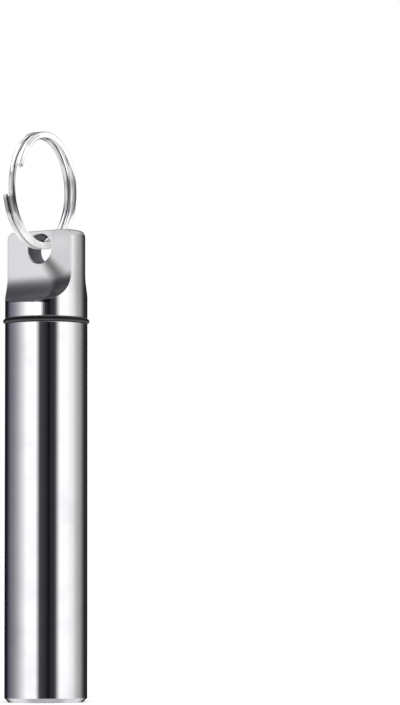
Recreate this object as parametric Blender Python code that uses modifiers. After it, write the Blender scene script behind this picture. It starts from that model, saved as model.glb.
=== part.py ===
# A toothpick holder for a key ring. A bored steel tube holds the toothpicks,
# a screw cap with a flat eye closes it, a rubber seal is squeezed between the
# two, and a split ring passes through the eye's hole.
# Metres, +Z up. The origin is the middle of the tube's flat base. The eye's
# hole runs along Y, so the split ring stands close to the YZ plane above the cap.
import math

import bmesh
import bpy
from mathutils import Matrix, Vector

MM = 0.001

# Facets of a full turn, and points of a quarter of a small round
TURN_FACETS = 72
ROUND_POINTS = 5
WIRE_ROUND_POINTS = 3

# Tube: the bore is also the core of the thread that the cap screws into
BORE_DIAMETER = 12.9 * MM
TUBE_WALL = 1.3 * MM
TUBE_HEIGHT = 70.85 * MM
FLOOR_THICKNESS = 1.2 * MM
FLOOR_FILLET = 0.8 * MM
FOOT_CHAMFER = 0.8 * MM
RIM_ROUNDING = 0.25 * MM
MOUTH_CHAMFER = 0.4 * MM

# Seal, squeezed flat between the tube's rim and the cap's shoulder
SEAL_THICKNESS = 0.85 * MM
SEAL_WIDTH = 1.45 * MM
SEAL_PROUD = 0.38 * MM
SEAL_CLEARANCE = 0.02 * MM

# Cap, from its shoulder up: a plain band, a scooped cove on each side, the eye
BAND_HEIGHT = 2.95 * MM
COVE_RADIUS = 5.5 * MM
EYE_HEIGHT = 8.1 * MM
EYE_THICKNESS = 4.6 * MM
CAP_CORNER = 1.4 * MM
SHOULDER_EDGE = 0.15 * MM
HOLE_DIAMETER = 5.4 * MM
HOLE_TOP_WALL = 0.65 * MM
HOLE_CHAMFER = 0.2 * MM

# Spigot below the cap's shoulder, bored out to leave room for the toothpicks
SPIGOT_REACH = 4.65 * MM
SPIGOT_CLEARANCE = 0.08 * MM
SPIGOT_CHAMFER = 0.4 * MM
RELIEF_HEIGHT = 1.1 * MM
RELIEF_DEPTH = 0.3 * MM
RECESS_DIAMETER = 9.6 * MM
RECESS_DEPTH = 4.6 * MM
RECESS_CHAMFER = 0.3 * MM
DRILL_POINT_ANGLE = math.radians(118)

# Split ring: flattened wire wound in an open coil of nearly two turns
RING_DIAMETER = 22.1 * MM
WIRE_RADIAL = 1.25 * MM
WIRE_AXIAL = 0.8 * MM
WIRE_ROUNDING = 0.2 * MM
COIL_GAP = 0.5 * MM
RING_OPENING = math.radians(29)
RING_FIRST_END = math.radians(9.5)

# How the split ring hangs: over the hole's edge, forward, turned and leaning
RING_SEAT = 0.6 * MM
RING_SHIFT = -2.1 * MM
RING_TURN = math.radians(4.4)
RING_LEAN = math.radians(1.1)

# How far a cutter runs past what it cuts
CUT_MARGIN = 2.0 * MM

BODY_RADIUS = BORE_DIAMETER / 2 + TUBE_WALL
SHOULDER_Z = TUBE_HEIGHT + SEAL_THICKNESS + 2 * SEAL_CLEARANCE
BAND_TOP_Z = SHOULDER_Z + BAND_HEIGHT
CAP_TOP_Z = BAND_TOP_Z + COVE_RADIUS + EYE_HEIGHT
HOLE_RADIUS = HOLE_DIAMETER / 2
HOLE_Z = CAP_TOP_Z - HOLE_TOP_WALL - HOLE_RADIUS


def clear_scene():
    for item in list(bpy.data.objects):
        bpy.data.objects.remove(item)


def new_collection(name):
    made = bpy.data.collections.new(name)
    bpy.context.scene.collection.children.link(made)
    return made


def new_material(name, colour, metallic, roughness):
    made = bpy.data.materials.new(name)
    made.use_nodes = True
    shader = made.node_tree.nodes["Principled BSDF"]
    shader.inputs["Base Color"].default_value = (*colour, 1)
    shader.inputs["Metallic"].default_value = metallic
    shader.inputs["Roughness"].default_value = roughness
    made.diffuse_color = (*colour, 1)
    return made


def arc(centre, radius, first, last, points):
    """Points of an arc in a flat outline, from one angle to another in degrees."""
    angles = [first + (last - first) * step / (points - 1) for step in range(points)]
    return [
        (
            centre[0] + radius * math.cos(math.radians(angle)),
            centre[1] + radius * math.sin(math.radians(angle)),
        )
        for angle in angles
    ]


def stadium(centre, width, height, rounding, points):
    """A rectangle with round corners, clockwise, as a closed outline."""
    right = centre[0] + width / 2 - rounding
    left = centre[0] - width / 2 + rounding
    top = centre[1] + height / 2 - rounding
    bottom = centre[1] - height / 2 + rounding
    return [
        *arc((right, top), rounding, 90, 0, points),
        *arc((right, bottom), rounding, 0, -90, points),
        *arc((left, bottom), rounding, -90, -180, points),
        *arc((left, top), rounding, 180, 90, points),
    ]


def outline_mesh(name, points, closed):
    """A chain of edges from points (distance from the axis, height)."""
    made = bpy.data.meshes.new(name)
    form = bmesh.new()
    verts = [form.verts.new((x, 0, z)) for x, z in points]
    for start, end in zip(verts, verts[1:]):
        form.edges.new((start, end))
    if closed:
        form.edges.new((verts[-1], verts[0]))
    bmesh.ops.remove_doubles(form, verts=form.verts, dist=0.001 * MM)
    form.to_mesh(made)
    form.free()
    return made


def turned(name, points, closed=False):
    """A profile turned once round Z."""
    made = bpy.data.objects.new(name, outline_mesh(name, points, closed))
    screw = made.modifiers.new("Turn", "SCREW")
    screw.axis = "Z"
    screw.angle = math.tau
    screw.steps = TURN_FACETS
    screw.render_steps = screw.steps
    screw.use_merge_vertices = True
    screw.merge_threshold = 0.001 * MM
    screw.use_smooth_shade = True
    return made


def prism(name, points, reach):
    """An outline in the YZ plane, drawn out to both sides along X."""
    mesh = bpy.data.meshes.new(name)
    form = bmesh.new()
    face = form.faces.new([form.verts.new((-reach, y, z)) for y, z in points])
    drawn = bmesh.ops.extrude_face_region(form, geom=[face])["geom"]
    moved = [item for item in drawn if isinstance(item, bmesh.types.BMVert)]
    bmesh.ops.translate(form, verts=moved, vec=(2 * reach, 0, 0))
    bmesh.ops.recalc_face_normals(form, faces=form.faces)
    form.to_mesh(mesh)
    form.free()
    return bpy.data.objects.new(name, mesh)


def cut(piece, cutter, cutters):
    cutters.objects.link(cutter)
    cutter.hide_render = True
    cutter.display_type = "WIRE"
    boolean = piece.modifiers.new(cutter.name, "BOOLEAN")
    boolean.operation = "DIFFERENCE"
    boolean.object = cutter


def make_tube():
    """Runs from the bore's floor up the bore, over the rim and down the outside."""
    bore = BORE_DIAMETER / 2
    fillet = (bore - FLOOR_FILLET, FLOOR_THICKNESS + FLOOR_FILLET)
    rim = (BODY_RADIUS - RIM_ROUNDING, TUBE_HEIGHT - RIM_ROUNDING)
    profile = [
        (0, FLOOR_THICKNESS),
        *arc(fillet, FLOOR_FILLET, -90, 0, ROUND_POINTS),
        (bore, TUBE_HEIGHT - MOUTH_CHAMFER),
        (bore + MOUTH_CHAMFER, TUBE_HEIGHT),
        *arc(rim, RIM_ROUNDING, 90, 0, ROUND_POINTS),
        (BODY_RADIUS, FOOT_CHAMFER),
        (BODY_RADIUS - FOOT_CHAMFER, 0),
        (0, 0),
    ]
    return turned("tube", profile)


def make_seal():
    """A squashed ring that lies on the rim and stands a little proud of the tube."""
    middle = BODY_RADIUS + SEAL_PROUD - SEAL_WIDTH / 2
    height = TUBE_HEIGHT + SEAL_CLEARANCE + SEAL_THICKNESS / 2
    section = stadium(
        (middle, height), SEAL_WIDTH, SEAL_THICKNESS, SEAL_THICKNESS / 2, ROUND_POINTS
    )
    return turned("o_ring", section, closed=True)


def cap_profile():
    """Runs from the top down the outside, round the spigot and up its recess."""
    corner = (BODY_RADIUS - CAP_CORNER, CAP_TOP_Z - CAP_CORNER)
    edge = (BODY_RADIUS - SHOULDER_EDGE, SHOULDER_Z + SHOULDER_EDGE)
    core = BORE_DIAMETER / 2 - SPIGOT_CLEARANCE
    neck = core - RELIEF_DEPTH
    end = TUBE_HEIGHT - SPIGOT_REACH
    recess = RECESS_DIAMETER / 2
    recess_top = end + RECESS_DEPTH
    relief_bottom = SHOULDER_Z - RELIEF_HEIGHT
    return [
        (0, CAP_TOP_Z),
        *arc(corner, CAP_CORNER, 90, 0, 2 * ROUND_POINTS),
        *arc(edge, SHOULDER_EDGE, 0, -90, ROUND_POINTS),
        (neck, SHOULDER_Z),
        (neck, relief_bottom),
        (core, relief_bottom - RELIEF_DEPTH),
        (core, end + SPIGOT_CHAMFER),
        (core - SPIGOT_CHAMFER, end),
        (recess + RECESS_CHAMFER, end),
        (recess, end + RECESS_CHAMFER),
        (recess, recess_top),
        (0, recess_top + recess / math.tan(DRILL_POINT_ANGLE / 2)),
    ]


def cove_cutter(side):
    """What a ball-nosed cutter takes off one side: a flat face and a scoop below it."""
    flat = EYE_THICKNESS / 2
    scoop = (flat + COVE_RADIUS, BAND_TOP_Z + COVE_RADIUS)
    outside = max(BODY_RADIUS, scoop[0]) + CUT_MARGIN
    above = CAP_TOP_Z + CUT_MARGIN
    outline = [
        (flat, above),
        *arc(scoop, COVE_RADIUS, 180, 270, 3 * ROUND_POINTS),
        (outside, BAND_TOP_Z),
        (outside, above),
    ]
    name = "cove_front" if side < 0 else "cove_back"
    return prism(name, [(side * y, z) for y, z in outline], outside)


def hole_cutter():
    """A spindle along Y, wider past each face of the eye to break the hole's edges."""
    face = EYE_THICKNESS / 2
    flare = HOLE_RADIUS + HOLE_CHAMFER + CUT_MARGIN
    profile = [
        (0, face + CUT_MARGIN),
        (flare, face + CUT_MARGIN),
        (HOLE_RADIUS, face - HOLE_CHAMFER),
        (HOLE_RADIUS, HOLE_CHAMFER - face),
        (flare, -face - CUT_MARGIN),
        (0, -face - CUT_MARGIN),
    ]
    cutter = turned("hole", profile)
    cutter.rotation_euler.x = math.radians(90)
    cutter.location.z = HOLE_Z
    return cutter


def make_cap(cutters):
    cap = turned("screw_cap", cap_profile())
    for side in (-1, 1):
        cut(cap, cove_cutter(side), cutters)
    cut(cap, hole_cutter(), cutters)
    return cap


def ring_centre():
    """Where the coil's centre lies, seen from the hole's centre.

    The coil's inner side hangs from the hole's edge that its shift brings it
    nearest to, raised by the seat that leaves the wire clear of the steel.
    """
    inner = RING_DIAMETER / 2 - WIRE_RADIAL
    edge = EYE_THICKNESS / 2 - HOLE_CHAMFER + abs(RING_SHIFT)
    rise = HOLE_RADIUS - RING_SEAT + math.sqrt(inner**2 - edge**2)
    return Vector((0, RING_SHIFT, rise))


def make_split_ring():
    """An open coil round X, with its two ends on the front, at mid height."""
    wind = 2 * math.tau - RING_OPENING
    advance = (WIRE_AXIAL + COIL_GAP) * wind / math.tau
    middle = RING_DIAMETER / 2 - WIRE_RADIAL / 2
    section = stadium(
        (-advance / 2, middle), WIRE_AXIAL, WIRE_RADIAL, WIRE_ROUNDING, WIRE_ROUND_POINTS
    )
    coil = bpy.data.objects.new("coil", outline_mesh("coil", section, closed=True))
    bpy.context.scene.collection.objects.link(coil)
    screw = coil.modifiers.new("Wind", "SCREW")
    screw.axis = "X"
    screw.angle = wind
    screw.screw_offset = advance
    screw.steps = round(TURN_FACETS * wind / math.tau)
    screw.render_steps = screw.steps
    screw.use_merge_vertices = False

    graph = bpy.context.evaluated_depsgraph_get()
    mesh = bpy.data.meshes.new_from_object(coil.evaluated_get(graph))
    bpy.data.objects.remove(coil)
    form = bmesh.new()
    form.from_mesh(mesh)
    ends = [edge for edge in form.edges if edge.is_boundary]
    bmesh.ops.holes_fill(form, edges=ends, sides=0)
    bmesh.ops.recalc_face_normals(form, faces=form.faces)
    to_first_end = Matrix.Rotation(math.pi / 2 + RING_FIRST_END, 4, "X")
    hung = Matrix.Rotation(RING_TURN, 4, "Z") @ Matrix.Translation(ring_centre())
    bmesh.ops.transform(form, matrix=hung @ to_first_end, verts=form.verts)
    form.to_mesh(mesh)
    form.free()
    mesh.shade_smooth()
    return bpy.data.objects.new("split_ring", mesh)


def main():
    clear_scene()
    holder = new_collection("toothpick_holder")
    cutters = new_collection("cutters")

    tube = make_tube()
    seal = make_seal()
    cap = make_cap(cutters)
    ring = make_split_ring()

    # The split ring swings round the axis of the eye's hole
    hinge = bpy.data.objects.new("ring_hinge", None)
    hinge.location.z = HOLE_Z
    hinge.rotation_euler.y = RING_LEAN
    hinge.empty_display_size = BODY_RADIUS
    ring.parent = hinge
    holder.objects.link(hinge)

    finishes = {
        tube: ("polished_tube_steel", (0.80, 0.80, 0.82), 1.0, 0.08),
        seal: ("seal_rubber", (0.02, 0.02, 0.02), 0.0, 0.55),
        cap: ("polished_cap_steel", (0.80, 0.80, 0.82), 1.0, 0.10),
        ring: ("bright_ring_steel", (0.86, 0.86, 0.86), 1.0, 0.14),
    }
    for piece, finish in finishes.items():
        holder.objects.link(piece)
        piece.data.materials.append(new_material(*finish))


main()
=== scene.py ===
import math

import bmesh
import bpy
from mathutils import Matrix, Quaternion, Vector


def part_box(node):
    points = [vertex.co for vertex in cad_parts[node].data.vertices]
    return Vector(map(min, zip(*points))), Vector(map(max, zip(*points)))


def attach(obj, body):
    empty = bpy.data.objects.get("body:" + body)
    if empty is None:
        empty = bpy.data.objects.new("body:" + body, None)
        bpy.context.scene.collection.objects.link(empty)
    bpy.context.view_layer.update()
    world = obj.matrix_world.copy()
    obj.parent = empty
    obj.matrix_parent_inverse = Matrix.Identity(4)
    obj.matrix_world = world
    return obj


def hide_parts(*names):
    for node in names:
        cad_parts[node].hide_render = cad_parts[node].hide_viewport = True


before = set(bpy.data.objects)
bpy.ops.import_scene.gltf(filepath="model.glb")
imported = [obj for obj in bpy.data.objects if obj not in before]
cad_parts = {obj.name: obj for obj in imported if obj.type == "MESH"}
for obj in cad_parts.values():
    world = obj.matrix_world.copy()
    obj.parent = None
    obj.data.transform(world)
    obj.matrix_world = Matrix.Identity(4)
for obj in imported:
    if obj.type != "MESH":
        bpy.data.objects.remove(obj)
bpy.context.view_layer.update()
scene = bpy.context.scene
mm = 0.001
print("frame loaded:", ", ".join(sorted(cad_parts)))


def linear(code):
    # a screen colour such as "dcdddd" as the linear values that sockets take
    parts = [int(code[at:at + 2], 16) / 255 for at in (0, 2, 4)]
    return [part / 12.92 if part <= 0.04045 else ((part + 0.055) / 1.055) ** 2.4 for part in parts]


class Wire:
    # one output socket; sums and products on it add Math nodes to its tree
    def __init__(self, graph, socket):
        self.graph = graph
        self.socket = socket

    def out(self, name):
        return Wire(self.graph, self.socket.node.outputs[name])

    def parts(self):
        # a vector's x, y and z
        split = self.graph.node("ShaderNodeSeparateXYZ", None, {0: self})
        return [split.out(axis) for axis in "XYZ"]

    def __add__(self, other):
        return self.graph.math("ADD", self, other)

    def __radd__(self, other):
        return self.graph.math("ADD", other, self)

    def __sub__(self, other):
        return self.graph.math("SUBTRACT", self, other)

    def __rsub__(self, other):
        return self.graph.math("SUBTRACT", other, self)

    def __mul__(self, other):
        return self.graph.math("MULTIPLY", self, other)

    def __rmul__(self, other):
        return self.graph.math("MULTIPLY", other, self)

    def __truediv__(self, other):
        return self.graph.math("DIVIDE", self, other)

    def __pow__(self, other):
        return self.graph.math("POWER", self, other)

    def __gt__(self, other):
        return self.graph.math("GREATER_THAN", self, other)

    def __abs__(self):
        return self.graph.math("ABSOLUTE", self)

    def atLeast(self, other):
        return self.graph.math("MAXIMUM", self, other)

    def atMost(self, other):
        return self.graph.math("MINIMUM", self, other)

    def clamped(self):
        return self.graph.math("ADD", self, 0.0, clamp=True)


class Graph:
    # makes the nodes of one tree
    def __init__(self, tree):
        self.tree = tree

    def node(self, kind, settings=None, sockets=None):
        made = self.tree.nodes.new(kind)
        for name, value in (settings or {}).items():
            if name == "stops":
                self.setStops(made.color_ramp, value)
            else:
                setattr(made, name, value)
        for name, value in (sockets or {}).items():
            self.feed(made.inputs[name], value)
        shown = [socket for socket in made.outputs if socket.enabled]
        return Wire(self, shown[0]) if shown else made

    def feed(self, socket, value):
        if isinstance(value, Wire):
            self.tree.links.new(value.socket, socket)
        elif socket.type == "RGBA":
            socket.default_value = (*value, 1)
        else:
            socket.default_value = value

    def setStops(self, ramp, stops):
        while len(ramp.elements) < len(stops):
            ramp.elements.new(1.0)
        for element, (place, colour) in zip(ramp.elements, stops):
            element.position = place
            element.color = (*colour, 1)

    def math(self, operation, *values, clamp=False):
        settings = {"operation": operation, "use_clamp": clamp}
        return self.node("ShaderNodeMath", settings, dict(enumerate(values)))

    def vectorMath(self, operation, first, second):
        settings = {"operation": operation}
        return self.node("ShaderNodeVectorMath", settings, {0: first, 1: second}).out("Value")

    def step(self, value, low, high):
        # 0 below low, 1 above high, smooth between
        settings = {"interpolation_type": "SMOOTHSTEP"}
        return self.node("ShaderNodeMapRange", settings, {"Value": value, "From Min": low, "From Max": high})

    def fall(self, value, low, high):
        # 1 below low, 0 above high
        return 1 - self.step(value, low, high)

    def blend(self, factor, first, second):
        # two colours mixed by a mask; 6, 7 and 2 are where the node keeps its colour sockets
        settings = {"data_type": "RGBA"}
        return self.node("ShaderNodeMix", settings, {0: factor, 6: first, 7: second}).out(2)

    def place(self):
        return self.node("ShaderNodeTexCoord").out("Object")

    def noise(self, place, scale, detail=3.0, roughness=0.5):
        sockets = {"Vector": place, "Scale": scale, "Detail": detail, "Roughness": roughness}
        return self.node("ShaderNodeTexNoise", None, sockets)

    def patches(self, place, scale, edge, detail=3.0, roughness=0.5):
        # where the noise is high, with the two levels between which each patch fades in
        return self.step(self.noise(place, scale, detail, roughness), *edge)

    def mapped(self, place, scale, turn=(0, 0, 0), shift=(0, 0, 0)):
        sockets = {"Vector": place, "Scale": scale, "Rotation": turn, "Location": shift}
        return self.node("ShaderNodeMapping", None, sockets)

    def bump(self, height):
        # heights are in mm
        return self.node("ShaderNodeBump", None, {"Strength": 1.0, "Distance": mm, "Height": height})


def distance(one, other):
    # of two wires at a right angle
    return (one * one + other * other) ** 0.5


def newMaterial(name):
    material = bpy.data.materials.new(name)
    material.use_nodes = True
    graph = Graph(material.node_tree)
    shader = material.node_tree.nodes["Principled BSDF"]
    return material, graph, shader


# an edge's two numbers are where a mask starts to change and where it has changed
steelFinish = dict(
    bright="f2f2f4",                # where the polish is best
    dull="e9e9ec",                  # hazed by handling
    polished=0.03,                  # roughness of the polished outside
    haze=0.02,                      # added where it is hazed
    hazeScale=160.0, hazeEdge=(0.42, 0.72),
    scratch=0.05,                   # added in a hairline scratch
    milled=0.32,                    # roughness of the eye's flats and scoops
    milledTone="fdfdfe",
    sandScale=9000.0, sandHeight=0.0015,
    turned=0.24,                    # roughness of the bore and the spigot
    toolScale=(150, 150, 4200),     # the turning tool's lines there
    toolHeight=0.015,
    grime="8f8d8c", grimeEdge=(0.5, 0.7), grimeShare=0.25,
    drilled=0.2,                    # added in the eye's hole
    holeDullAndShade="8a898f",              # the hole's wall: duller as unpolished drilled steel, and darker as painted shade in the hole
    # the hole's roof, darker still: painted shade
    holeRoofShade="4c4b50", roofShadeHeights=(85.6, 86.6),
    shade="1c1b20",                 # what the painted shade on the eye's front darkens towards
)
hairlineSpec = dict(
    count=3,
    lean=(0.0, 0.5, 0.4),           # how the first direction is turned, in radians
    turn=(0.9, 1.3, 2.1),           # and how much further each next one is
    stretch=(260, 260, 9000), width=0.008,
    gapScale=700.0, gapMore=130.0,  # what breaks the lines, finer in each next direction
    gapEdge=(0.56, 0.66),
)


def hairlines(graph, place, spec):
    # thin scratches in a few directions: each is a narrow level of stretched noise
    marks = 0.0
    for at in range(spec["count"]):
        lean = [first + at * more for first, more in zip(spec["lean"], spec["turn"])]
        turned = graph.mapped(place, (1, 1, 1), lean)
        stretched = graph.mapped(turned, spec["stretch"], shift=(at, 0, 3 * at))
        streaks = graph.noise(stretched, 1.0, detail=1.0)
        line = graph.fall(abs(streaks - 0.5), 0.0, spec["width"])
        kept = graph.patches(turned, spec["gapScale"] + at * spec["gapMore"], spec["gapEdge"], detail=1.0)
        marks = (line * kept).atLeast(marks)
    return marks


def nothing(graph, x, y, z):
    return 0.0


def steelMaterial(name, spec, inside, milled=nothing, drilled=nothing, shaded=nothing):
    # the last four are made by the piece, as masks over its own coordinates in mm
    material, graph, shader = newMaterial(name)
    place = graph.place()
    x, y, z = [part / mm for part in place.parts()]
    insideMask = inside(graph, x, y, z)
    milledMask = milled(graph, x, y, z)
    drilledMask = drilled(graph, x, y, z)
    haze = graph.patches(place, spec["hazeScale"], spec["hazeEdge"], detail=4.0, roughness=0.6)
    scratches = hairlines(graph, place, hairlineSpec)
    roughness = spec["polished"] + spec["haze"] * haze + spec["scratch"] * scratches
    roughness = roughness + (spec["milled"] - spec["polished"]) * milledMask
    roughness = roughness + (spec["turned"] - spec["polished"]) * insideMask
    roughness = roughness + spec["drilled"] * drilledMask
    toolLines = graph.noise(graph.mapped(place, spec["toolScale"]), 1.0, detail=2.0)
    sand = graph.noise(place, spec["sandScale"], detail=2.0)
    height = toolLines * insideMask * spec["toolHeight"] + sand * milledMask * spec["sandHeight"]
    tone = graph.blend(haze, linear(spec["bright"]), linear(spec["dull"]))
    grime = insideMask * graph.step(toolLines, *spec["grimeEdge"]) * spec["grimeShare"]
    tone = graph.blend(grime, tone, linear(spec["grime"]))
    tone = graph.blend(milledMask, tone, linear(spec["milledTone"]))
    # painted shade in the eye's hole, darkest on its roof
    roof = graph.step(z, *spec["roofShadeHeights"])
    wall = graph.blend(roof, linear(spec["holeDullAndShade"]), linear(spec["holeRoofShade"]))
    tone = graph.blend(drilledMask, tone, wall)
    # painted shade and painted reflections on the front of the eye
    tone = graph.blend(shaded(graph, x, y, z), tone, linear(spec["shade"]))
    graph.feed(shader.inputs["Base Color"], tone)
    graph.feed(shader.inputs["Roughness"], roughness)
    graph.feed(shader.inputs["Normal"], graph.bump(height))
    shader.inputs["Metallic"].default_value = 1.0
    return material


# for everything that is turned: guard and onAxis in mm, the welds in metres
turning = dict(facets=192, guard=0.06, roundSteps=6, crease=35, onAxis=1e-6, weld=1e-7, fineWeld=1e-8)
evenAngles = [math.tau * at / turning["facets"] for at in range(turning["facets"])]


def filleted(corners, steps):
    # corners are (radius, height, fillet) in mm; each fillet becomes an arc
    points = []
    for at, (x, z, fillet) in enumerate(corners):
        here = Vector((x, z))
        if fillet <= 0:
            points.append(here)
            continue
        back = (Vector(corners[at - 1][:2]) - here).normalized()
        ahead = (Vector(corners[at + 1][:2]) - here).normalized()
        half = back.angle(ahead) / 2
        reach = fillet / math.tan(half)
        centre = here + (back + ahead).normalized() * fillet / math.sin(half)
        first = (here + back * reach - centre).normalized()
        last = (here + ahead * reach - centre).normalized()
        for step in range(steps + 1):
            points.append(centre + first.slerp(last, step / steps) * fillet)
    return points


def guarded(points, guard):
    # a ring close to each end of a long run keeps the shading of the run flat
    kept = [points[0]]
    for start, end in zip(points, points[1:]):
        run = end - start
        if run.length > 4 * guard:
            way = run.normalized() * guard
            kept += [start + way, end - way]
        kept.append(end)
    return kept


def densified(points, low, high, step):
    # extra rings between two heights, for a thread to be formed on
    kept = [points[0]]
    for start, end in zip(points, points[1:]):
        inZone = min(start.y, end.y) < high and max(start.y, end.y) > low
        if inZone and abs(end.y - start.y) > step:
            cuts = max(1, round(abs(end.y - start.y) / step))
            for cut in range(1, cuts):
                point = start.lerp(end, cut / cuts)
                if low < point.y < high:
                    kept.append(point)
        kept.append(end)
    return kept


def lathe(form, profile, angles, closed=False):
    rings = []
    for x, z in profile:
        if x < turning["onAxis"]:
            rings.append([form.verts.new((0, 0, z * mm))])
        else:
            ring = [(x * mm * math.cos(a), x * mm * math.sin(a), z * mm) for a in angles]
            rings.append([form.verts.new(spot) for spot in ring])
    pairs = list(zip(rings, rings[1:]))
    if closed:
        pairs.append((rings[-1], rings[0]))
    for one, two in pairs:
        for at in range(len(angles)):
            after = (at + 1) % len(angles)
            around = ((one, at), (one, after), (two, after), (two, at))
            # a ring on the axis is one point, which a face takes only once
            corners = list(dict.fromkeys(ring[spot % len(ring)] for ring, spot in around))
            if len(corners) > 2:
                form.faces.new(corners)


def smoothed(mesh, crease):
    mesh.shade_smooth()
    mesh.set_sharp_from_angle(angle=math.radians(crease))


def finishedForm(form, name, material, crease=turning["crease"]):
    bmesh.ops.remove_doubles(form, verts=form.verts, dist=turning["weld"])
    bmesh.ops.dissolve_degenerate(form, edges=form.edges, dist=turning["fineWeld"])
    bmesh.ops.recalc_face_normals(form, faces=form.faces)
    mesh = bpy.data.meshes.new(name)
    form.to_mesh(mesh)
    form.free()
    smoothed(mesh, crease)
    mesh.materials.append(material)
    piece = bpy.data.objects.new(name, mesh)
    scene.collection.objects.link(piece)
    return piece


def newTree(name, sizes, counts=()):
    # a geometry tree with named inputs
    tree = bpy.data.node_groups.new(name, "GeometryNodeTree")
    tree.interface.new_socket(name="Geometry", in_out="INPUT", socket_type="NodeSocketGeometry")
    for label in sizes:
        tree.interface.new_socket(name=label, in_out="INPUT", socket_type="NodeSocketFloat")
    for label in counts:
        tree.interface.new_socket(name=label, in_out="INPUT", socket_type="NodeSocketInt")
    tree.interface.new_socket(name="Geometry", in_out="OUTPUT", socket_type="NodeSocketGeometry")
    graph = Graph(tree)
    return tree, graph, graph.node("NodeGroupInput")


def endTree(graph, shape, material):
    real = graph.node("GeometryNodeRealizeInstances", None, {"Geometry": shape})
    dressed = graph.node("GeometryNodeSetMaterial", None, {"Geometry": real, "Material": material})
    graph.node("NodeGroupOutput", None, {"Geometry": dressed})


def applyTree(piece, tree, values):
    # the sizes go in by the sockets' identifiers, then the result becomes a plain mesh
    modifier = piece.modifiers.new(tree.name, "NODES")
    modifier.node_group = tree
    for item in tree.interface.items_tree:
        if item.in_out == "INPUT" and item.name in values:
            modifier[item.identifier] = values[item.name]
    graph = bpy.context.evaluated_depsgraph_get()
    mesh = bpy.data.meshes.new_from_object(piece.evaluated_get(graph), depsgraph=graph)
    mesh.name = piece.name
    piece.modifiers.clear()
    piece.data = mesh


threadSpec = dict(pitch=1.0, flank=60, step=0.05, touch=0.004)


def threadTree(material):
    names = ("Core Radius", "Depth", "Pitch", "Crest Half Width", "Bottom", "Top", "Run-out Slope")
    tree, graph, given = newTree("threadForm", names)
    core, depth, pitch, crest, bottom, top, slope = [given.out(name) for name in names]
    x, y, z = graph.node("GeometryNodeInputPosition").parts()
    radius = distance(x, y)
    turn = graph.math("ARCTAN2", y, x) / math.tau
    # how far up the wave: 0 on a crest line, half a pitch between two of them
    wave = z / pitch - turn
    wave = abs(wave - graph.math("ROUND", wave)) * pitch
    flank = math.tan(math.radians(threadSpec["flank"]))
    rise = depth - (wave - crest).atLeast(0.0) * flank
    fade = ((z - bottom) * slope).atMost((top - z) * slope)
    rise = rise.atLeast(0.0).atMost(fade)
    grow = (core + rise).atLeast(radius) / radius
    moved = graph.node("ShaderNodeCombineXYZ", None, {"X": x * grow, "Y": y * grow, "Z": z})
    onCore = radius > core - threadSpec["touch"] * mm
    shaped = graph.node("GeometryNodeSetPosition", None,
                        {"Geometry": given.out("Geometry"), "Selection": onCore, "Position": moved})
    endTree(graph, shaped, material)
    return tree


def threadValues(spec, core, bottom, top):
    return {
        "Core Radius": core * mm, "Depth": spec["threadDepth"] * mm, "Pitch": threadSpec["pitch"] * mm,
        "Crest Half Width": spec["threadCrest"] * mm, "Bottom": bottom * mm, "Top": top * mm,
        "Run-out Slope": spec["runOut"],
    }


tubeSpec = dict(
    bore=12.9, radius=7.75, height=70.85, floor=1.2, floorFillet=0.8,
    footChamfer=0.8, footSoft=0.1, rimRound=0.25, mouthChamfer=0.4, mouthSoft=0.02,
    threadEnd=65.4, threadDepth=0.55, threadCrest=0.0925, threadMargin=0.2, pastMouth=2.0, runOut=0.9,
    insideEdge=(7.02, 7.1),         # on the rim, where the bore's dull finish gives way to polish
)


def tubeInside(graph, x, y, z):
    return graph.fall(distance(x, y), *tubeSpec["insideEdge"])


def makeTube(spec):
    bore = spec["bore"] / 2
    mouth = spec["height"] - spec["mouthChamfer"]
    corners = [
        (0, spec["floor"], 0),
        (bore, spec["floor"], spec["floorFillet"]),
        (bore, mouth, spec["mouthSoft"]),
        (bore + spec["mouthChamfer"], spec["height"], spec["mouthSoft"]),
        (spec["radius"], spec["height"], spec["rimRound"]),
        (spec["radius"], spec["footChamfer"], spec["footSoft"]),
        (spec["radius"] - spec["footChamfer"], 0, spec["footSoft"]),
        (0, 0, 0),
    ]
    profile = guarded(filleted(corners, turning["roundSteps"]), turning["guard"])
    rim = spec["radius"] - 2 * spec["rimRound"]
    outside = next(at for at, point in enumerate(profile) if point.x > rim)
    threadTop = spec["height"] + spec["pastMouth"]
    threadFoot = spec["threadEnd"] - spec["threadMargin"]
    dense = densified(profile[:outside], threadFoot, threadTop, threadSpec["step"])
    form = bmesh.new()
    lathe(form, dense + profile[outside:], evenAngles)
    material = steelMaterial("polishedTubeSteel", steelFinish, tubeInside)
    piece = finishedForm(form, "tubeShell", material)
    applyTree(piece, threadTree(material), threadValues(spec, bore, spec["threadEnd"], threadTop))
    return piece


tubeShell = makeTube(tubeSpec)
print("tube made,", len(tubeShell.data.polygons), "faces")


capSpec = dict(
    radius=7.75, shoulder=71.74, shoulderRound=0.15, band=2.95, coveRadius=5.5,
    eyeHeight=8.1, eyeHalf=2.3, corner=1.4, edge=0.13, holeRadius=2.7, holeTopWall=0.65,
    holeChamfer=0.22, holeSoft=0.05, joinHeight=73.5,
    spigotRadius=6.37, spigotEnd=66.2, spigotChamfer=0.4, reliefHeight=1.1, reliefDepth=0.3,
    recessRadius=4.8, recessTop=70.8, recessChamfer=0.3, drillPoint=118,
    neckSoft=0.08, reliefSoft=0.05, spigotSoft=0.02, tipSoft=0.04, mouthSoft=0.03, recessSoft=0.1,
    threadDepth=0.58, threadCrest=0.0625, threadMargin=0.1, runOut=1.0,
)
capGrid = dict(seam=56, samples=1500, side=10, corner=14, top=8, strip=8, under=9, across=16, hole=24,
               guard=0.06, soft=4)
bandTop = capSpec["shoulder"] + capSpec["band"]
capTop = bandTop + capSpec["coveRadius"] + capSpec["eyeHeight"]
holeHeight = capTop - capSpec["holeTopWall"] - capSpec["holeRadius"]


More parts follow.
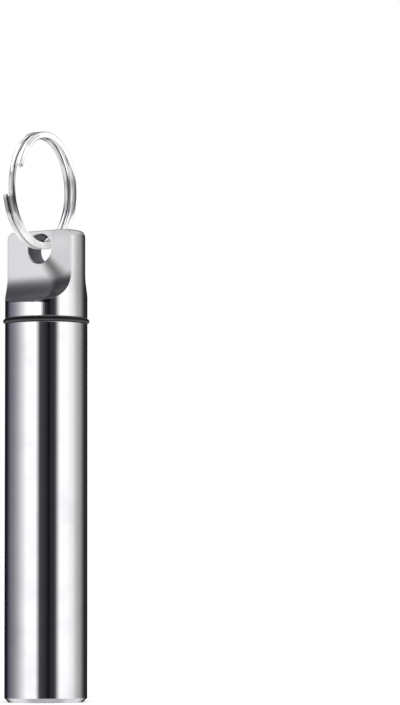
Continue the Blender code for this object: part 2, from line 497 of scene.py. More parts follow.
class CapShape:
    # the surfaces of the cap's upper half, in mm, for one quarter: x and y both positive
    def __init__(self, spec):
        self.radius = spec["radius"]
        self.half = spec["eyeHalf"]
        self.cove = spec["coveRadius"]
        self.coveY = self.half + self.cove
        self.coveZ = bandTop + self.cove
        self.top = capTop
        self.corner = spec["corner"]
        self.cornerR = self.radius - self.corner
        self.cornerZ = self.top - self.corner
        self.edge = spec["edge"]

    def outward(self, spot):
        return Vector((spot.x, spot.y, 0)).normalized()

    def onTurned(self, spot):
        flat = Vector((spot.x, spot.y, 0))
        if spot.z <= self.cornerZ:
            return flat.normalized() * self.radius + Vector((0, 0, spot.z))
        out = Vector((flat.length - self.cornerR, spot.z - self.cornerZ))
        if out.x <= 0:
            return Vector((spot.x, spot.y, self.top))
        out = out.normalized() * self.corner
        return flat.normalized() * (self.cornerR + out.x) + Vector((0, 0, self.cornerZ + out.y))

    def onMilled(self, spot):
        if spot.z >= self.coveZ:
            return Vector((spot.x, self.half, spot.z))
        out = Vector((spot.y - self.coveY, spot.z - self.coveZ)).normalized() * self.cove
        return Vector((spot.x, self.coveY + out.x, self.coveZ + out.y))

    def seamPoint(self, spot, turnedNormal, milledNormal):
        # the soft strip over the edge at one spot, and the way from there into the milled surface
        alongTurned = (turnedNormal.dot(milledNormal) * turnedNormal - milledNormal).normalized()
        alongMilled = (turnedNormal.dot(milledNormal) * milledNormal - turnedNormal).normalized()
        first = self.onTurned(spot + alongTurned * self.edge)
        last = self.onMilled(spot + alongMilled * self.edge)
        strip = []
        for step in range(capGrid["soft"] + 1):
            t = step / capGrid["soft"]
            strip.append((1 - t) ** 2 * first + 2 * t * (1 - t) * spot + t ** 2 * last)
        return dict(strip=strip, inward=alongMilled)

    def seamUnder(self, count):
        # where the scoop meets the turned outside, even along its length
        start = math.asin((self.coveY - self.radius) / self.cove)
        fine = []
        for step in range(capGrid["samples"] + 1):
            lean = start + (math.pi / 2 - start) * (step / capGrid["samples"]) ** 2
            y = min(self.coveY - self.cove * math.sin(lean), self.radius)
            x = math.sqrt(max(self.radius ** 2 - y ** 2, 0))
            fine.append((Vector((x, y, self.coveZ - self.cove * math.cos(lean))), lean))
        run = [0.0]
        for one, two in zip(fine, fine[1:]):
            run.append(run[-1] + (two[0] - one[0]).length)
        picked, at = [], 0
        for step in range(count + 1):
            while at < len(run) - 1 and run[at] < run[-1] * step / count:
                at += 1
            picked.append(fine[at])
        return [self.seamPoint(spot, self.outward(spot), Vector((0, math.sin(lean), math.cos(lean))))
                for spot, lean in picked]

    def seamSide(self, heights):
        x = math.sqrt(self.radius ** 2 - self.half ** 2)
        spots = [Vector((x, self.half, z)) for z in heights]
        return [self.seamPoint(spot, self.outward(spot), Vector((0, 1, 0))) for spot in spots]

    def seamCorner(self, count):
        made = []
        for step in range(1, count + 1):
            lean = math.pi / 2 * step / count
            reach = self.cornerR + self.corner * math.cos(lean)
            spot = Vector((math.sqrt(reach ** 2 - self.half ** 2), self.half,
                           self.cornerZ + self.corner * math.sin(lean)))
            normal = self.outward(spot) * math.cos(lean) + Vector((0, 0, math.sin(lean)))
            made.append(self.seamPoint(spot, normal, Vector((0, 1, 0))))
        return made

    def seamTop(self, places):
        spots = [Vector((x, self.half, self.top)) for x in places]
        return [self.seamPoint(spot, Vector((0, 0, 1)), Vector((0, 1, 0))) for spot in spots]


def spread(count, guard, whole):
    # shares of a run from 0 to 1: one close to its start, within 0.4 of an even step, the others even
    first = min(guard / max(whole, 1e-9), 0.4 / count)
    return [0.0] + [first + (1 - first) * step / count for step in range(count + 1)]


def addSurface(form, rows):
    # rows of spots in mm as a sheet of four-sided faces
    grid = [[form.verts.new(Vector(spot) * mm) for spot in row] for row in rows]
    for one, two in zip(grid, grid[1:]):
        for at in range(len(one) - 1):
            form.faces.new((one[at], one[at + 1], two[at + 1], two[at]))


def capSeams(shape):
    # the milled edge of one quarter, from the scoop's foot up to the middle of the top
    guard = capGrid["guard"]
    rise = shape.cornerZ - shape.coveZ
    steps = capGrid["side"]
    heights = [shape.coveZ + guard + (rise - 2 * guard) * step / steps for step in range(steps + 1)]
    heights.append(shape.cornerZ)
    topStart = math.sqrt(shape.cornerR ** 2 - shape.half ** 2)
    steps = capGrid["top"]
    places = [(topStart - guard) * (1 - step / steps) for step in range(steps + 1)]
    return (shape.seamUnder(capGrid["seam"]), shape.seamSide(heights), shape.seamCorner(capGrid["corner"]),
            shape.seamTop(places))


def outsideBelow(form, under, join):
    # the turned outside below the scoop, down to where the lower half joins
    columns = []
    for item in under:
        start = item["strip"][0]
        shares = spread(capGrid["under"], capGrid["guard"], start.z - join)
        columns.append([Vector((start.x, start.y, start.z + (join - start.z) * share)) for share in shares])
    addSurface(form, columns)
    return columns


def outsideBeside(form, shape, column, edge, top):
    # first the corner between that and the eye's narrow side
    turn = math.atan2(column[0].y, column[0].x)
    shares = spread(capGrid["strip"], capGrid["guard"], turn * shape.radius)
    around = [turn * (1 - share) for share in shares]
    addSurface(form, [[Vector((shape.radius * math.cos(a), shape.radius * math.sin(a), spot.z))
                       for spot in column] for a in around])
    # the narrow side, up and over the rounded corner, at one height for each row
    rows = []
    for item in edge:
        start = item["strip"][0]
        reach = math.hypot(start.x, start.y)
        angle = math.atan2(start.y, start.x)
        turns = [angle * (1 - share) for share in shares]
        rows.append([Vector((reach * math.cos(a), reach * math.sin(a), start.z)) for a in turns])
    # the flat top: its rows straighten from the corner's curve to the middle
    arc = rows[-1]
    for item in top:
        start = item["strip"][0]
        keep = start.x / arc[0].x
        rows.append([Vector((start.x + (spot.x - arc[0].x) * keep, spot.y, shape.top)) for spot in arc])
    addSurface(form, rows)
    return around


def scoopSurface(form, under, firstOnFlat):
    rows = []
    for item in under:
        end = item["strip"][-1]
        shares = spread(capGrid["across"], capGrid["guard"], end.x)
        rows.append([Vector((end.x * (1 - share), end.y, end.z)) for share in shares])
    # one more row on the flat keeps the flat's shading true
    start = firstOnFlat["strip"][-1]
    rows.append([Vector((spot.x, start.y, start.z)) for spot in rows[-1]])
    addSurface(form, rows)
    return rows[-1]


def holeProfile(spec, half):
    # from the flat over the hole's broken edge to its middle, with both turns of the edge softened
    wall, brim = spec["holeRadius"], spec["holeRadius"] + spec["holeChamfer"]
    foot, soft = half - spec["holeChamfer"], spec["holeSoft"]
    return [
        (brim + 2 * soft, half),
        (brim + soft, half),
        (brim, half - 0.25 * soft),
        (brim - soft, half - soft),
        (wall + soft, foot + 0.2 * soft),
        (wall + 0.25 * soft, foot - 0.6 * soft),
        (wall, foot - 1.6 * soft),
        (wall, foot - 2.8 * soft),
        (wall, 0),
    ]


def flatSurface(form, shape, border, scoopRow, profile):
    # a narrow band inside its edge, the hole with a band round it, and one face between
    edgeRow = [item["strip"][-1] for item in border]
    innerRow = []
    for item in border:
        spot = item["strip"][-1] + item["inward"] * capGrid["guard"]
        innerRow.append(Vector((max(spot.x, 0), spot.y, spot.z)))
    addSurface(form, [edgeRow, innerRow])
    steps = capGrid["hole"]
    angles = [math.pi * (step / steps - 0.5) for step in range(steps + 1)]
    rows = [[Vector((reach * math.cos(a), y, holeHeight + reach * math.sin(a))) for a in angles]
            for reach, y in profile]
    addSurface(form, rows)
    outline = list(reversed(scoopRow[1:])) + innerRow[1:] + list(reversed(rows[0]))
    form.faces.new([form.verts.new(spot * mm) for spot in outline])


def mirrorQuarter(form):
    for axis in (0, 1):
        copied = bmesh.ops.duplicate(form, geom=form.verts[:] + form.edges[:] + form.faces[:])["geom"]
        verts = [item for item in copied if isinstance(item, bmesh.types.BMVert)]
        faces = [item for item in copied if isinstance(item, bmesh.types.BMFace)]
        flip = Matrix.Diagonal([-1 if axis == at else 1 for at in range(3)]).to_4x4()
        bmesh.ops.transform(form, matrix=flip, verts=verts)
        bmesh.ops.reverse_faces(form, faces=faces)
    bmesh.ops.remove_doubles(form, verts=form.verts, dist=turning["weld"])


def wholeTurn(angles):
    # the angles of one quarter, carried round the other three
    quarter = sorted(a for a in angles if turning["onAxis"] < a < math.pi / 2 - turning["onAxis"])
    back = quarter[::-1]
    return ([0.0] + quarter + [math.pi / 2] + [math.pi - a for a in back]
            + [math.pi] + [math.pi + a for a in quarter] + [1.5 * math.pi] + [math.tau - a for a in back])


def capUpper(form, spec):
    # one quarter, mirrored twice; the turned half below takes its angles from here
    shape = CapShape(spec)
    under, side, corner, top = capSeams(shape)
    addSurface(form, [item["strip"] for item in under + side + corner + top])
    columns = outsideBelow(form, under, spec["joinHeight"])
    around = outsideBeside(form, shape, columns[-1], [under[-1]] + side + corner, top)
    scoopRow = scoopSurface(form, under, side[0])
    flatSurface(form, shape, side + corner + top, scoopRow, holeProfile(spec, shape.half))
    bmesh.ops.remove_doubles(form, verts=form.verts, dist=turning["fineWeld"])
    wide = [face for face in form.faces if len(face.verts) > 4]
    bmesh.ops.triangulate(form, faces=wide, ngon_method="BEAUTY")
    mirrorQuarter(form)
    return wholeTurn([math.atan2(column[0].y, column[0].x) for column in columns] + around[1:])


def capLower(form, spec, angles):
    spigot, neck = spec["spigotRadius"], spec["spigotRadius"] - spec["reliefDepth"]
    relief = spec["shoulder"] - spec["reliefHeight"]
    end, recess = spec["spigotEnd"], spec["recessRadius"]
    tip = spigot - spec["spigotChamfer"]
    threadLow, threadTop = end + spec["spigotChamfer"], relief - spec["reliefDepth"]
    drillTip = spec["recessTop"] + recess / math.tan(math.radians(spec["drillPoint"] / 2))
    corners = [
        (spec["radius"], spec["joinHeight"], 0),
        (spec["radius"], spec["shoulder"], spec["shoulderRound"]),
        (neck, spec["shoulder"], spec["neckSoft"]),
        (neck, relief, spec["reliefSoft"]),
        (spigot, threadTop, spec["spigotSoft"]),
        (spigot, threadLow, spec["spigotSoft"]),
        (tip, end, spec["tipSoft"]),
        (recess + spec["recessChamfer"], end, spec["mouthSoft"]),
        (recess, end + spec["recessChamfer"], spec["mouthSoft"]),
        (recess, spec["recessTop"], spec["recessSoft"]),
        (0, drillTip, 0),
    ]
    profile = guarded(filleted(corners, turning["roundSteps"]), turning["guard"])
    inside = next(at for at, point in enumerate(profile) if point.x < tip)
    margin = spec["threadMargin"]
    dense = densified(profile[:inside], threadLow - margin, threadTop + margin, threadSpec["step"])
    lathe(form, dense + profile[inside:], angles)
    return threadLow, threadTop


# how far from its edge each of the cap's masks starts and is full, in mm
capMasks = dict(shoulder=(-0.02, 0.02), band=(-0.09, 0.01), outside=(-0.03, -0.005), corner=(-0.09, 0.11),
                flat=(-0.03, -0.005), front=(-0.1, -0.05), hole=(0.01, 0.06))
# painted shade and painted reflections on the front of the eye, in mm across and up
streakShade = dict(place=(1.75, 82.7), run=(0.65, -0.76), reach=1.9, spread=0.3, start=(-1.4, -0.4),
                   heights=(74.7, 77.0), dark=0.74)
scoopShade = dict(across=(1.4, 4.6), heights=(78.6, 81.4), dark=0.84)
floorShade = dict(heights=(76.9, 80.3), dark=0.53)
flatShade = dict(across=(2.2, 3.3), dark=0.14)
lipShade = dict(depth=0.21, slope=0.041, soft=0.08, across=(4.4, 5.4), dark=0.9)


def besideEdge(edge, name):
    return [edge + offset for offset in capMasks[name]]


def capInside(graph, x, y, z):
    return graph.fall(z, *besideEdge(capSpec["shoulder"], "shoulder"))


def capWithin(graph, x, y):
    # inside the turned surface, as the flats and the scoops are
    return graph.fall(distance(x, y), *besideEdge(capSpec["radius"], "outside"))


def capMilled(graph, x, y, z):
    # the rounded top corners are left out, except on the flats
    underCorner = graph.fall(z, *besideEdge(capTop - capSpec["corner"], "corner"))
    onFlat = graph.step(abs(y), *besideEdge(capSpec["eyeHalf"], "flat"))
    aboveBand = graph.step(z, *besideEdge(bandTop, "band"))
    return underCorner.atLeast(onFlat) * aboveBand * capWithin(graph, x, y)


def capDrilled(graph, x, y, z):
    return graph.fall(distance(x, z - holeHeight), *besideEdge(capSpec["holeRadius"], "hole"))


def capShaded(graph, x, y, z):
    front = graph.step(0 - y, *besideEdge(capSpec["eyeHalf"], "front"))
    within = capWithin(graph, x, y)
    # painted shade: a streak from the hole down to the scoop's darker right end, wider as it goes
    offX, offZ = x - streakShade["place"][0], z - streakShade["place"][1]
    runX, runZ = streakShade["run"]
    along = offX * runX + offZ * runZ
    across = abs(offZ * runX - offX * runZ) / (streakShade["reach"] + streakShade["spread"] * along)
    streak = graph.fall(across, 0.0, 1.0) * graph.step(along, *streakShade["start"])
    streak = streak * graph.step(z, *streakShade["heights"]) * streakShade["dark"]
    # painted shade on the scoop's right end and its lower part, and a painted reflection darkening the
    # flat's right part
    end = graph.step(x, *scoopShade["across"]) * graph.fall(z, *scoopShade["heights"]) * scoopShade["dark"]
    floor = graph.fall(z, *floorShade["heights"]) * floorShade["dark"]
    right = graph.step(x, *flatShade["across"]) * flatShade["dark"]
    most = streak.atLeast(end).atLeast(floor).atLeast(right)
    most = most * graph.step(z, *besideEdge(bandTop, "band")) * within
    # a painted dark line of shade along the scoop's lower edge, on the band
    top = bandTop - lipShade["depth"]
    lip = graph.step(z + x * lipShade["slope"], top - lipShade["soft"], top)
    lip = lip * graph.fall(x, *lipShade["across"]) * (1 - within) * lipShade["dark"]
    return most.atLeast(lip) * front


def makeCap(spec):
    form = bmesh.new()
    angles = capUpper(form, spec)
    threadLow, threadTop = capLower(form, spec, angles)
    material = steelMaterial("polishedCapSteel", steelFinish, capInside, capMilled, capDrilled, capShaded)
    piece = finishedForm(form, "capBody", material)
    applyTree(piece, threadTree(material), threadValues(spec, spec["spigotRadius"], threadLow, threadTop))
    return piece


capBody = makeCap(capSpec)
print("cap made,", len(capBody.data.polygons), "faces")


sealSpec = dict(outer=8.13, width=1.45, thickness=0.85, bottom=70.87, roundSteps=14)
rubberFinish = dict(
    colour="040405", roughness=0.45, shine=0.2,
    grainScale=7000.0, grainRough=0.14, grainHeight=0.02,
    dust="101011", dustScale=900.0, dustEdge=(0.55, 0.8), dustRough=0.2,
    # the pale bands under and over are painted light, not a colour of the rubber
    paintedSheen="4c4c4e", under=(70.94, 71.32), over=(71.5, 71.72),
)


def rubberMaterial(name, spec):
    material, graph, shader = newMaterial(name)
    place = graph.place()
    grain = graph.noise(place, spec["grainScale"], roughness=0.6)
    dusty = graph.patches(place, spec["dustScale"], spec["dustEdge"])
    roughness = spec["roughness"] + spec["grainRough"] * (grain - 0.5) + spec["dustRough"] * dusty
    # painted light: paler towards the bottom, where light from the floor falls, with a painted highlight
    # along the top edge
    z = place.parts()[2] / mm
    paintedSheen = 1 - graph.step(z, *spec["under"]) * graph.fall(z, *spec["over"])
    tone = graph.blend(dusty, linear(spec["colour"]), linear(spec["dust"]))
    graph.feed(shader.inputs["Base Color"], graph.blend(paintedSheen, tone, linear(spec["paintedSheen"])))
    graph.feed(shader.inputs["Roughness"], roughness)
    graph.feed(shader.inputs["Normal"], graph.bump(grain * spec["grainHeight"]))
    shader.inputs["Specular IOR Level"].default_value = spec["shine"]
    return material


def makeSeal(spec):
    half = spec["thickness"] / 2
    middle = spec["bottom"] + half
    inner, outer = spec["outer"] - spec["width"] + half, spec["outer"] - half
    steps = spec["roundSteps"]
    section = []
    for centre, start in ((outer, math.pi / 2), (inner, -math.pi / 2)):
        for step in range(steps + 1):
            a = start - math.pi * step / steps
            section.append(Vector((centre + half * math.cos(a), middle + half * math.sin(a))))
    form = bmesh.new()
    lathe(form, section, evenAngles, closed=True)
    return finishedForm(form, "sealRing", rubberMaterial("sealRubber", rubberFinish), crease=180)


sealRing = makeSeal(sealSpec)
print("seal made")


ringSpec = dict(
    diameter=22.1, wireRadial=1.25, wireAxial=0.8, rounding=0.2, gap=0.5, opening=29,
    firstEnd=9.5, seat=0.6, inset=0.2, shift=-2.1, turn=4.4, lean=1.1,
    stepsPerTurn=288, roundSteps=5, endSoft=0.18, endSize=0.86,
)
# worn is where the ring hangs, in mm; side, behind and line are in mm along and around the wire
ringFinish = dict(
    bright="f6f6f7", dull="e9e9eb", shade="1a1a1c", roughness=0.10,
    hazeScale=260.0, hazeEdge=(0.4, 0.75),
    drawn=0.05, drawnScale=(90.0, 22000.0),         # fine lines, by metres along and around
    rubbed=0.06, rubScale=1400.0, rubEdge=(0.55, 0.75),
    worn=(0.0, -1.5, 85.5), wornEdge=(6.3, 10.5), wornRough=0.35, wornDull=0.85,
    darkScale=(60.0, 2400.0), darkEdge=(0.4, 0.56), darkReach=(0.6, 1.0),
    sideStart=(2.05, 2.3), sideEnd=(3.0, 3.2), behindEnd=(55, 58), behindDark=0.5, frontDark=0.12,
    lineStart=(59.3, 60.5), lineEnd=(66.5, 69.0), lineSide=(2.4, 2.6), lineDark=0.85,
)
# painted dark reflections along the wire: middle across and up in mm, reach across and up, how dark
ringShade = ((-11.6, 92.5, 2.4, 2.3, 0.72), (-10.9, 96.6, 1.6, 4.9, 0.75), (-7.4, 104.6, 3.4, 2.6, 0.5),
             (8.2, 95.8, 2.6, 5.0, 0.28))


def ringMaterial(name, spec):
    # drawn wire: fine lines run along the strand, by the strand's own attributes
    material, graph, shader = newMaterial(name)
    along = graph.node("ShaderNodeAttribute", {"attribute_name": "along"}).out("Fac")
    around = graph.node("ShaderNodeAttribute", {"attribute_name": "around"}).out("Fac")

    def strandNoise(scale, detail):
        strand = {"X": along * scale[0], "Y": around * scale[1]}
        return graph.noise(graph.node("ShaderNodeCombineXYZ", None, strand), 1.0, detail)

    place = graph.place()
    haze = graph.patches(place, spec["hazeScale"], spec["hazeEdge"], detail=4.0, roughness=0.6)
    rub = graph.patches(place, spec["rubScale"], spec["rubEdge"])
    # rubbed dull where it hangs in the hole
    fromWorn = graph.vectorMath("DISTANCE", place, [part * mm for part in spec["worn"]]) / mm
    worn = graph.fall(fromWorn, *spec["wornEdge"])
    roughness = spec["roughness"] + spec["drawn"] * strandNoise(spec["drawnScale"], 2.0) * haze
    roughness = roughness + spec["rubbed"] * rub + spec["wornRough"] * worn
    tone = graph.blend(haze, linear(spec["bright"]), linear(spec["dull"]))
    shade = linear(spec["shade"])
    y, z = [part / mm for part in place.parts()[1:]]
    # painted dark reflections in stretches along the wire, broken by coarse lines
    lines = graph.step(strandNoise(spec["darkScale"], 1.0), *spec["darkEdge"])
    for across, up, reachAcross, reachUp, dark in ringShade:
        off = distance((y - across) / reachAcross, (z - up) / reachUp)
        tone = graph.blend(graph.fall(off, *spec["darkReach"]) * lines * dark, tone, shade)
    # painted shade between the turns, on each turn's side towards the other, darker on the turn behind
    along, around = along / mm, around / mm
    side = graph.step(around, *spec["sideStart"]) * graph.fall(around, *spec["sideEnd"])
    behind = graph.fall(along, *spec["behindEnd"])
    between = side * worn * (spec["frontDark"] + (spec["behindDark"] - spec["frontDark"]) * behind)
    tone = graph.blend(between, tone, shade)
    # one painted dark reflection line down the side of the turn in front
    line = graph.step(along, *spec["lineStart"]) * graph.fall(along, *spec["lineEnd"])
    line = line * side * graph.step(around, *spec["lineSide"]) * spec["lineDark"]
    graph.feed(shader.inputs["Base Color"], graph.blend(line, tone, shade))
    graph.feed(shader.inputs["Roughness"], roughness)
    graph.feed(shader.inputs["Metallic"], 1 - spec["wornDull"] * worn)
    return material


def ringTree(material, spec):
    names = ("Coil Radius", "Turns", "Advance", "Wire Axial", "Wire Radial", "Rounding", "End Softness")
    tree, graph, given = newTree("woundWire", names, ("Steps Per Turn",))
    coil, turns, advance, axial, radial, rounding, endSoft = [given.out(name) for name in names]

    def keepLength(curve, name):
        # as an attribute, which the material reads
        length = graph.node("GeometryNodeSplineParameter").out("Length")
        kept = graph.node("GeometryNodeStoreNamedAttribute", {"data_type": "FLOAT", "domain": "POINT"},
                          {"Geometry": curve, "Name": name, "Value": length})
        return kept, length

    path = graph.node("GeometryNodeCurveSpiral", None, {
        "Resolution": given.out("Steps Per Turn"), "Rotations": turns,
        "Start Radius": coil, "End Radius": coil, "Height": advance, "Reverse": True})
    path = graph.node("GeometryNodeSetCurveNormal", {"mode": "Z_UP"}, {"Curve": path})
    path, length = keepLength(path, "along")
    # each end is drawn in a little, as a cropped and tumbled wire is
    fromEnd = length.atMost(turns * math.tau * coil - length)
    size = spec["endSize"] + (1 - spec["endSize"]) * (fromEnd / endSoft).clamped() ** 0.5
    path = graph.node("GeometryNodeSetCurveRadius", None, {"Curve": path, "Radius": size})
    section = graph.node("GeometryNodeCurvePrimitiveQuadrilateral", None, {"Width": radial, "Height": axial})
    section = graph.node("GeometryNodeFilletCurve", {"mode": "POLY"},
                         {"Curve": section, "Radius": rounding, "Count": spec["roundSteps"]})
    section, sectionLength = keepLength(section, "around")
    wire = graph.node("GeometryNodeCurveToMesh", None,
                      {"Curve": path, "Profile Curve": section, "Scale": size, "Fill Caps": True})
    endTree(graph, wire, material)
    return tree


def makeRing(spec, hinge):
    coil = (spec["diameter"] - spec["wireRadial"]) / 2
    pitch = spec["wireAxial"] + spec["gap"]
    wind = 2 * 360 - spec["opening"]
    advance = pitch * wind / 360
    # the coil's inside hangs over the hole's edge
    inner = spec["diameter"] / 2 - spec["wireRadial"]
    holeEdge = capSpec["eyeHalf"] - spec["inset"] + abs(spec["shift"])
    rise = capSpec["holeRadius"] - spec["seat"] + math.sqrt(inner ** 2 - holeEdge ** 2)
    centre = Vector((0, spec["shift"], rise)) * mm
    piece = bpy.data.objects.new("splitRing", bpy.data.meshes.new("splitRing"))
    scene.collection.objects.link(piece)
    values = {
        "Coil Radius": coil * mm, "Turns": wind / 360, "Advance": advance * mm,
        "Wire Axial": spec["wireAxial"] * mm, "Wire Radial": spec["wireRadial"] * mm,
        "Rounding": spec["rounding"] * mm, "End Softness": spec["endSoft"] * mm,
        "Steps Per Turn": spec["stepsPerTurn"],
    }
    applyTree(piece, ringTree(ringMaterial("brightRingSteel", ringFinish), spec), values)
    toX = Matrix(((0, 0, 1), (1, 0, 0), (0, 1, 0))).to_4x4()
    hung = (Matrix.Rotation(math.radians(spec["lean"]), 4, "Y")
            @ Matrix.Rotation(math.radians(spec["turn"]), 4, "Z"))
    place = (Matrix.Translation(hinge) @ hung @ Matrix.Translation(centre)
             @ Matrix.Rotation(math.radians(180 + spec["firstEnd"]), 4, "X")
             @ toX @ Matrix.Translation((0, 0, -advance / 2 * mm)))
    mesh = piece.data
    mesh.transform(place)
    form = bmesh.new()
    form.from_mesh(mesh)
    bmesh.ops.recalc_face_normals(form, faces=form.faces)
    form.to_mesh(mesh)
    form.free()
    smoothed(mesh, turning["crease"])
    return piece


splitRing = makeRing(ringSpec, Vector((0, 0, holeHeight)) * mm)
print("ring made,", len(splitRing.data.polygons), "faces")


for piece, node, body, slot in (
    (tubeShell, "tube", "tube", "body_steel"),
    (capBody, "screw_cap", "cap", "body_steel"),
    (sealRing, "o_ring", "seal", "seal_rubber"),
    (splitRing, "split_ring", "key_ring", "ring_steel"),
):
    low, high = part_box(node)
    spots = [vertex.co for vertex in piece.data.vertices]
    over = max(max(spot[axis] - high[axis], low[axis] - spot[axis]) for spot in spots for axis in range(3))
    print(piece.name, "stands over its node's box by", round(over / mm, 4), "mm")
    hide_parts(node)
    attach(piece, body)


# the camera, in mm and degrees with its clipping in metres, and how bright the surround is for each light
studio = dict(azimuth=33.5, distance=627.3, eyeHeight=16.9, aside=28.93, aimHeight=65.4, roll=-0.125,
              lens=170.75, sensor=36.0, clip=(0.01, 20.0), worldForDiffuse=1.0, worldForGloss=1.16)

# what stands round the object, by the angle from the camera's direction, in degrees to its right:
# pale paper with dark flags between, as strips of one tall surround
surround = (
    (-180, "141219"), (-140, "1b1920"), (-130, "3a3842"), (-118, "656370"), (-100, "807f86"),
    (-91, "94949a"), (-83, "a9a8ac"), (-70, "d1d1d2"), (-62, "e6e6e7"), (-54, "fdfdfd"),
    (-27, "fdfdfd"), (-15.5, "48474d"), (-6, "38373c"), (4, "28272c"), (9, "0d0c11"), (15, "2a292d"),
    (24, "323235"), (29.5, "5a5a5c"), (36.8, "d0d0d0"), (42, "fcfcfc"), (63, "fbfbfb"), (82, "e5e5e5"),
    (98, "b2b2b2"), (113, "979797"), (121, "747475"), (131, "3f3f41"), (140, "282829"), (180, "18171b"),
)
# above and below eye level, with the degrees where each tone starts and is full
overhead = dict(low="66646d", lowFrom=(12, 42), high="4a4852", highFrom=(38, 62),
                right="c4c4c6", rightFrom=(-0.1, 0.5))      # paler on the right, by the share to that side
underfoot = dict(edge="0a0a0c", edgeFrom=(4, 13), edgeShare=0.24,
                 low="d8d8da", lowFrom=(14, 38), deep="aeaeb0", deepFrom=(56, 72))


def makeWorld(spec):
    world = bpy.data.worlds.new("studioWorld")
    scene.world = world
    world.use_nodes = True
    tree = world.node_tree
    tree.nodes.clear()
    graph = Graph(tree)

    def pastLevel(height, degrees):
        return graph.step(height, *(math.sin(math.radians(angle)) for angle in degrees))

    def background(colour, strength):
        return graph.node("ShaderNodeBackground", None, {"Color": colour, "Strength": strength})

    a = math.radians(spec["azimuth"])
    look = graph.node("ShaderNodeTexCoord").out("Generated")
    side = graph.vectorMath("DOT_PRODUCT", look, (math.cos(a), math.sin(a), 0))
    toward = graph.vectorMath("DOT_PRODUCT", look, (math.sin(a), -math.cos(a), 0))
    height = look.parts()[2]
    turn = graph.math("ARCTAN2", side, toward) / math.tau + 0.5
    stops = [((angle + 180) / 360, linear(colour)) for angle, colour in surround]
    seen = graph.node("ShaderNodeValToRGB", {"stops": stops}, {0: turn})
    high = pastLevel(height, overhead["highFrom"])
    ceiling = graph.blend(high, linear(overhead["low"]), linear(overhead["high"]))
    rightward = graph.step(side, *overhead["rightFrom"])
    ceiling = graph.blend(rightward, ceiling, linear(overhead["right"]))
    seen = graph.blend(pastLevel(height, overhead["lowFrom"]), seen, ceiling)
    below = 0 - height
    edge = pastLevel(below, underfoot["edgeFrom"]) * underfoot["edgeShare"]
    seen = graph.blend(edge, seen, linear(underfoot["edge"]))
    deep = pastLevel(below, underfoot["deepFrom"])
    ground = graph.blend(deep, linear(underfoot["low"]), linear(underfoot["deep"]))
    seen = graph.blend(pastLevel(below, underfoot["lowFrom"]), seen, ground)
    white = (1, 1, 1)
    glossy = background(seen, spec["worldForGloss"])
    plain = background(white, spec["worldForDiffuse"])
    paper = background(white, 1.0)
    rays = graph.node("ShaderNodeLightPath")
    mixed = graph.node("ShaderNodeMixShader", None, {0: rays.out("Is Glossy Ray"), 1: plain, 2: glossy})
    mixed = graph.node("ShaderNodeMixShader", None, {0: rays.out("Is Camera Ray"), 1: mixed, 2: paper})
    graph.node("ShaderNodeOutputWorld", None, {"Surface": mixed})


floorSpec = dict(half=4.0, fibreScale=900.0, tones=(0.99, 1.0))     # half its side in metres


def makeFloor(spec):
    mesh = bpy.data.meshes.new("paperFloor")
    form = bmesh.new()
    bmesh.ops.create_grid(form, x_segments=1, y_segments=1, size=spec["half"])
    form.to_mesh(mesh)
    form.free()
    floor = bpy.data.objects.new("paperFloor", mesh)
    scene.collection.objects.link(floor)
    material, graph, shader = newMaterial("paleFloorPaper")
    fibre = graph.noise(graph.place(), spec["fibreScale"])
    first, second = [(tone, tone, tone) for tone in spec["tones"]]
    graph.feed(shader.inputs["Base Color"], graph.blend(fibre, first, second))
    shader.inputs["Roughness"].default_value = 1.0
    shader.inputs["Specular IOR Level"].default_value = 0.0
    mesh.materials.append(material)
    floor.visible_glossy = False


# small soft lamps close to the split ring, seen in its steel alone; places and sizes in mm
ringLamps = dict(
    above=dict(spot=(-5, -22, 118), aim=(-5, -22, 90), size=(26, 50)),
    besideHigh=dict(spot=(25.5, 52, 113), aim=(0.4, -2.1, 108), size=(30, 16)),
    besideLow=dict(spot=(25.5, 52, 92.5), aim=(0.4, -2.1, 87.5), size=(30, 7.5)),
)
# seen in the cap alone: a pale face and two weaker strips that soften its right edge
capLamps = dict(
    capFace=dict(spot=(135.0, -584.6, 85), aim=(0, 0, 75), size=(200.8, 440)),
    capFade=dict(spot=(251.2, -544.9, 85), aim=(0, 0, 75), size=(47.1, 440), share=0.42),
    capEdge=dict(spot=(293.2, -523.5, 85), aim=(0, 0, 75), size=(47.1, 440), share=0.09),
)
# not seen as reflections: one lights the split ring from the front, one everything from above
frontLamp = dict(spot=(140, -210, 85), aim=(0, 0, 85), size=(150, 150), bright=2.6)
topLamp = dict(spot=(250, -350, 900), aim=(0, 0, 50), size=(600, 600), power=3.0)
# shines from the camera's side on the strand inside the eye's hole
holeLamp = dict(spot=(70, -105, 85), aim=(0, 0.5, 85.9), angle=1.6, soft=1.0, radius=1, power=0.75)


def placeLamp(lamp, spec, lit=None, reflected=False):
    # lit is a collection with the one piece that the lamp shines on
    holder = bpy.data.objects.new(lamp.name, lamp)
    spot, aim = Vector(spec["spot"]) * mm, Vector(spec["aim"]) * mm
    holder.location = spot
    holder.rotation_euler = (aim - spot).to_track_quat("-Z", "Y").to_euler()
    holder.visible_glossy = reflected
    if lit:
        holder.visible_camera = False
        holder.light_linking.receiver_collection = lit
    scene.collection.objects.link(holder)


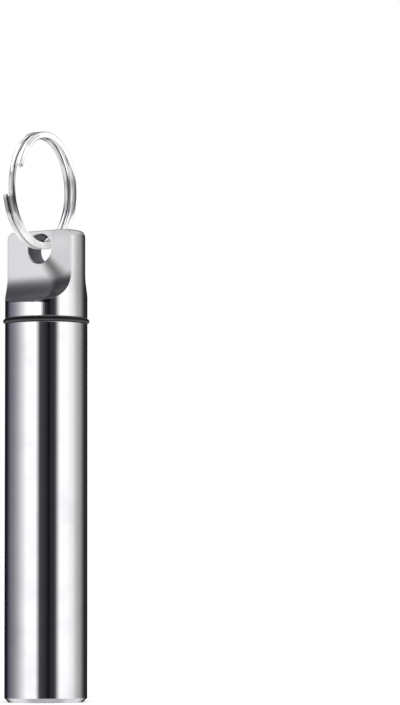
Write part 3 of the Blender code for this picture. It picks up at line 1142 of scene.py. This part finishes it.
def faceLamp(name, spec, bright=None):
    # bright gives the power that makes the lamp's face that much brighter than white paper
    lamp = bpy.data.lights.new(name, "AREA")
    lamp.shape = "RECTANGLE"
    width, height = (side * mm for side in spec["size"])
    lamp.size, lamp.size_y = width, height
    lamp.energy = bright * math.pi * width * height if bright else spec["power"]
    return lamp


def spotLamp(name, spec):
    lamp = bpy.data.lights.new(name, "SPOT")
    lamp.energy = spec["power"]
    lamp.spot_size = math.radians(spec["angle"])
    lamp.spot_blend = spec["soft"]
    lamp.shadow_soft_size = spec["radius"] * mm
    return lamp


def makeLamps(spec):
    alone = {}
    for piece in (splitRing, capBody):
        alone[piece] = bpy.data.collections.new(piece.name + "Alone")
        alone[piece].objects.link(piece)
    for piece, lamps in ((splitRing, ringLamps), (capBody, capLamps)):
        for name, lamp in lamps.items():
            bright = spec["worldForGloss"] * lamp.get("share", 1.0)
            placeLamp(faceLamp(name, lamp, bright), lamp, alone[piece], reflected=True)
    placeLamp(faceLamp("ringFront", frontLamp, frontLamp["bright"]), frontLamp, alone[splitRing])
    placeLamp(spotLamp("inHole", holeLamp), holeLamp, alone[splitRing])
    placeLamp(faceLamp("softTop", topLamp), topLamp)


def makeCamera(spec):
    a = math.radians(spec["azimuth"])
    back = Vector((math.sin(a), -math.cos(a), 0))
    right = Vector((math.cos(a), math.sin(a), 0))
    camera = bpy.data.cameras.new("photoCamera")
    camera.lens = spec["lens"]
    camera.sensor_width = spec["sensor"]
    camera.sensor_fit = "AUTO"
    camera.clip_start, camera.clip_end = spec["clip"]
    holder = bpy.data.objects.new("photoCamera", camera)
    scene.collection.objects.link(holder)
    aside = right * spec["aside"] * mm
    spot = back * spec["distance"] * mm + aside + Vector((0, 0, spec["eyeHeight"] * mm))
    aim = aside + Vector((0, 0, spec["aimHeight"] * mm))
    holder.location = spot
    holder.rotation_mode = "QUATERNION"
    level = (aim - spot).to_track_quat("-Z", "Y")
    holder.rotation_quaternion = level @ Quaternion((0, 0, 1), math.radians(spec["roll"]))
    scene.camera = holder


makeWorld(studio)
makeFloor(floorSpec)
makeLamps(studio)
makeCamera(studio)
scene.view_settings.view_transform = "Standard"
print("studio set")
